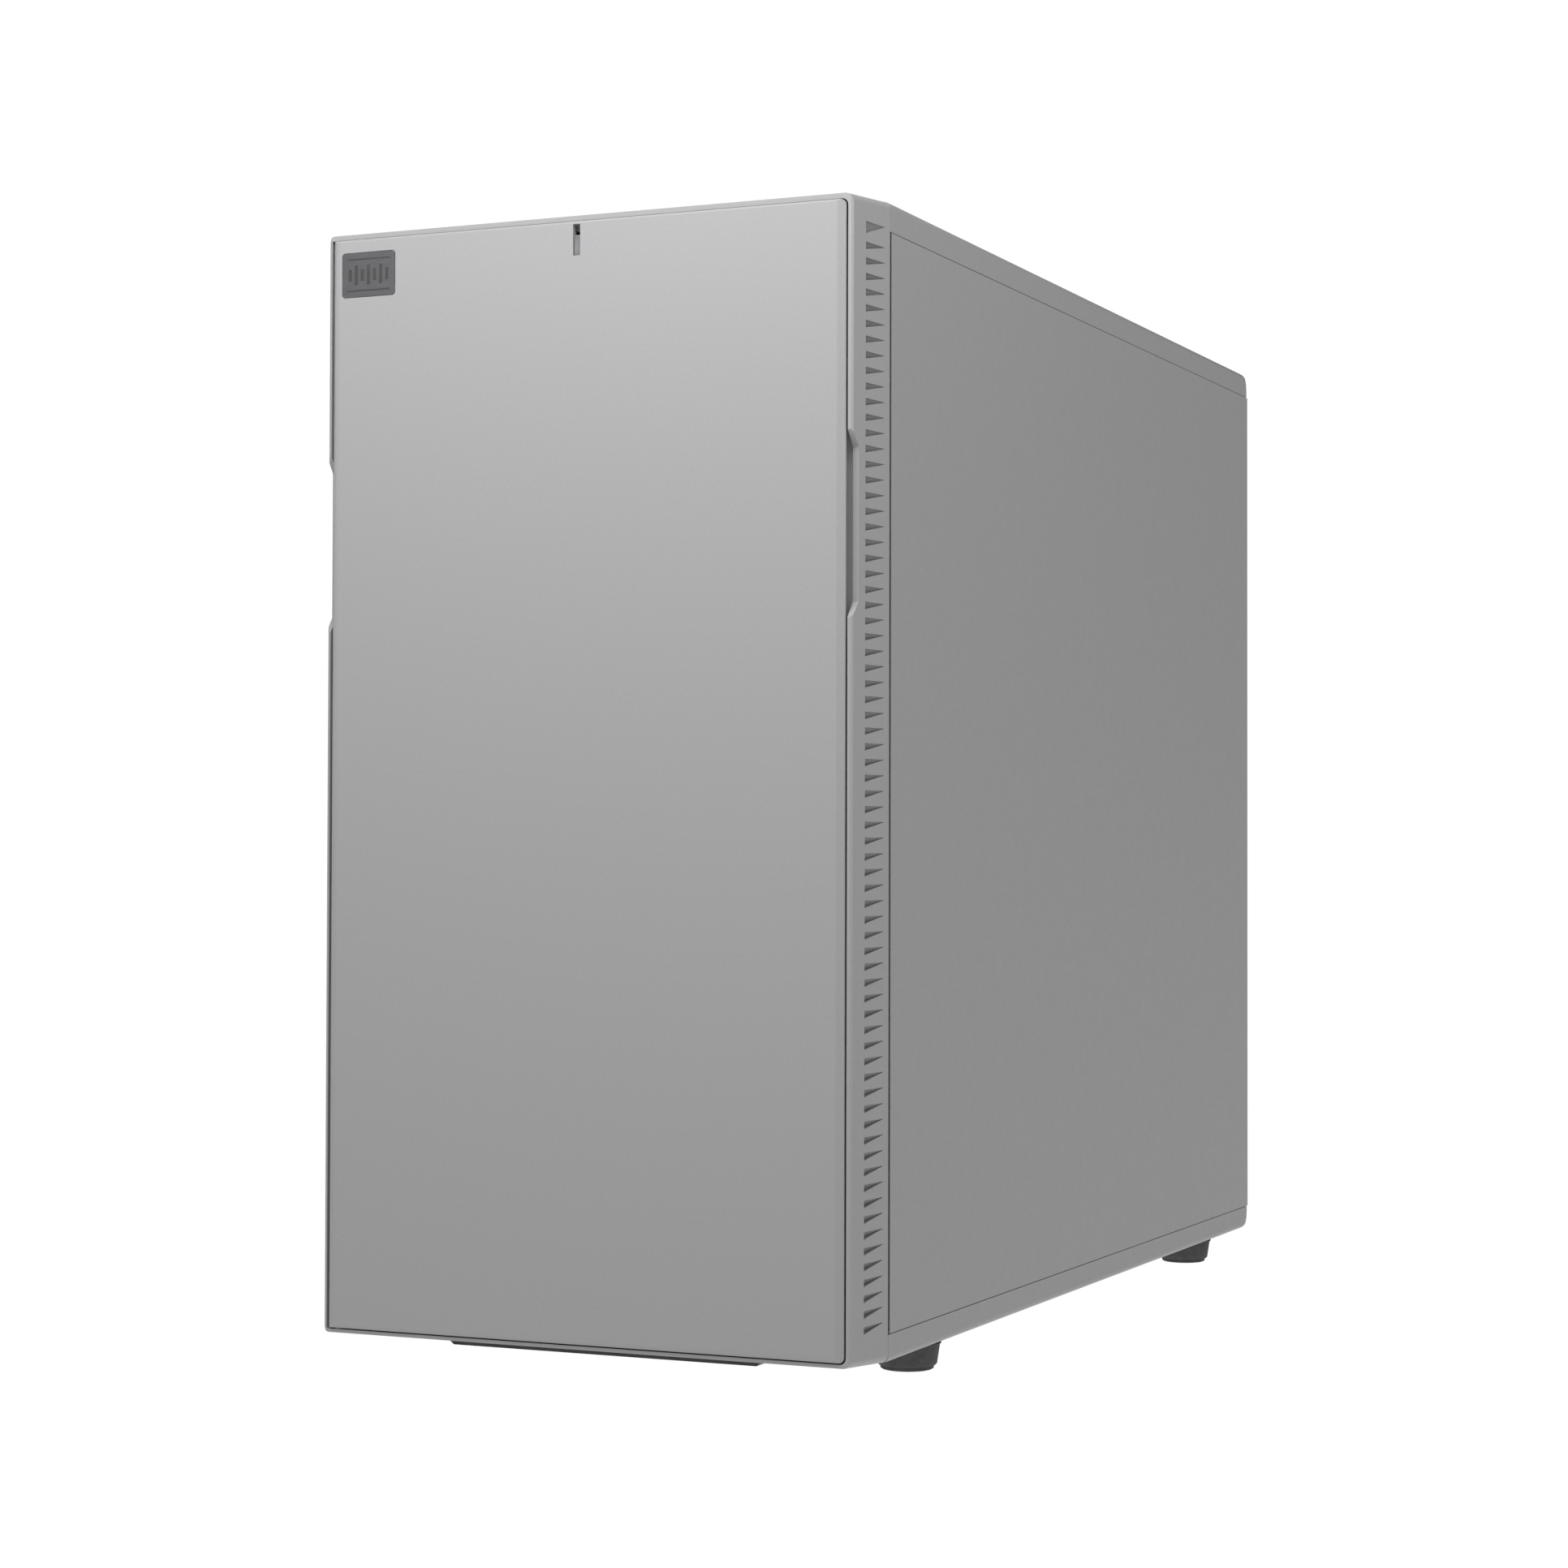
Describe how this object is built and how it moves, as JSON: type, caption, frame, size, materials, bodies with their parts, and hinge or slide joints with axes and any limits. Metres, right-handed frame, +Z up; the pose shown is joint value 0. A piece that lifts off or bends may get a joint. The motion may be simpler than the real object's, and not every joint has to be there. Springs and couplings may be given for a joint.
{
  "type": "desktop computer tower",
  "caption": "Upright desktop computer with a hinged front door, louvred bezel sides, sliding side panels, sliding dust filter, fans, drive bays, boards and power supply.",
  "frame": {"origin": "under the middle of the bounding box, on the plane the feet stand on", "axes": "+Z up, -Y out of the front door, +X to the right of someone facing the door"},
  "size_m": [0.234, 0.528, 0.451],
  "materials": {
    "pale_plastic": "fine satin texture",
    "pale_steel": "satin powder coat",
    "black_plastic": "matt",
    "black_steel": "powder coat",
    "foam": "open-cell foam",
    "rubber": "matt",
    "circuit": "solder mask",
    "aluminium": "satin",
    "bare_steel": "plated",
    "badge": "brushed",
    "lens": "frosted"
  },
  "bodies": {
    "case": {"base_tray": "pale_steel", "foot_front_left": "rubber", "foot_front_right": "rubber", "foot_rear_left": "rubber", "foot_rear_right": "rubber", "top_cover": "pale_steel", "top_vent_cover_front": "pale_steel", "top_vent_cover_rear": "pale_steel", "top_frame": "black_steel", "front_frame": "black_steel", "motherboard_tray": "black_steel", "rear_panel": "pale_steel", "slot_blanks": "bare_steel", "front_bezel": "pale_plastic", "bay_cover_lower": "black_plastic", "bay_cover_upper": "black_plastic", "front_filter_cover": "black_plastic", "io_module": "black_plastic", "front_fan_frame": "black_plastic", "rear_fan_frame": "black_plastic", "cpu_fan_frame": "black_plastic", "drive_cage": "pale_steel", "drive_tray": "pale_plastic", "hard_drive": "aluminium", "optical_bay_cage": "black_steel", "psu_case": "black_steel", "mains_inlet": "black_plastic", "switch_housing": "black_plastic", "main_power_cable": "rubber", "motherboard": "circuit", "rear_usb_ports": "bare_steel", "rear_sockets": "bare_steel", "io_shield": "bare_steel", "cpu_cooler": "aluminium", "memory_module_a": "aluminium", "memory_module_b": "aluminium", "graphics_card": "black_plastic"},
    "door": {"front_door": "pale_plastic", "door_pad": "foam", "badge_plate": "badge", "light_pipe": "lens"},
    "right_panel": {"right_side_panel": "pale_steel", "right_panel_pad": "foam", "right_thumbscrew_lower": "bare_steel", "right_thumbscrew_upper": "bare_steel"},
    "left_panel": {"left_side_panel": "pale_steel", "left_panel_pad": "foam", "left_thumbscrew_lower": "bare_steel", "left_thumbscrew_upper": "bare_steel"},
    "power_button": {"power_button": "pale_plastic"},
    "reset_button": {"reset_button": "black_plastic"},
    "fan_speed_slider": {"fan_speed_slider": "pale_plastic"},
    "psu_switch": {"psu_switch": "black_plastic"},
    "front_fan_rotor": {"front_fan_rotor": "pale_plastic"},
    "rear_fan_rotor": {"rear_fan_rotor": "pale_plastic"},
    "cpu_fan_rotor": {"cpu_fan_rotor": "black_plastic"},
    "psu_fan_rotor": {"psu_fan_rotor": "black_plastic"},
    "gpu_fan_rotor": {"gpu_fan_rotor": "black_plastic"},
    "filter_drawer": {"bottom_filter": "black_plastic"}
  },
  "joints": [
    {"name": "door_hinge", "type": "hinge", "parent": "case", "child": "door", "pos_m": [-0.1074, -0.26, 0.23], "axis": [0, 0, -1], "range_deg": [0, 100]},
    {"name": "right_panel_slide", "type": "slide", "parent": "case", "child": "right_panel", "axis": [0, 1, 0], "range_m": [0, 0.018]},
    {"name": "left_panel_slide", "type": "slide", "parent": "case", "child": "left_panel", "axis": [0, 1, 0], "range_m": [0, 0.018]},
    {"name": "bottom_filter_slide", "type": "slide", "parent": "case", "child": "filter_drawer", "axis": [0, -1, 0], "range_m": [0, 0.42]},
    {"name": "power_button_press", "type": "slide", "parent": "case", "child": "power_button", "axis": [0, 0, -1], "range_m": [0, 0.002], "stiffness_N_per_m": 800},
    {"name": "reset_button_press", "type": "slide", "parent": "case", "child": "reset_button", "axis": [0, 0, -1], "range_m": [0, 0.002], "stiffness_N_per_m": 500},
    {"name": "fan_speed_slide", "type": "slide", "parent": "case", "child": "fan_speed_slider", "axis": [0, 0, 1], "range_m": [-0.015, 0.015]},
    {"name": "psu_switch_rock", "type": "hinge", "parent": "case", "child": "psu_switch", "pos_m": [0.024, 0.2514, 0.085], "axis": [0, 0, 1], "range_deg": [0, 16]},
    {"name": "front_fan_spin", "type": "hinge", "parent": "case", "child": "front_fan_rotor", "pos_m": [0, -0.2168, 0.13], "axis": [0, 1, 0], "continuous": true},
    {"name": "rear_fan_spin", "type": "hinge", "parent": "case", "child": "rear_fan_rotor", "pos_m": [-0.032, 0.2427, 0.35], "axis": [0, 1, 0], "continuous": true},
    {"name": "cpu_fan_spin", "type": "hinge", "parent": "case", "child": "cpu_fan_rotor", "pos_m": [-0.01, 0.1345, 0.345], "axis": [0, 1, 0], "continuous": true},
    {"name": "psu_fan_spin", "type": "hinge", "parent": "case", "child": "psu_fan_rotor", "pos_m": [0.009, 0.175, 0.039], "axis": [0, 0, 1], "continuous": true},
    {"name": "gpu_fan_spin", "type": "hinge", "parent": "case", "child": "gpu_fan_rotor", "pos_m": [0.017, 0.12, 0.2035], "axis": [0, 0, 1], "continuous": true}
  ]
}
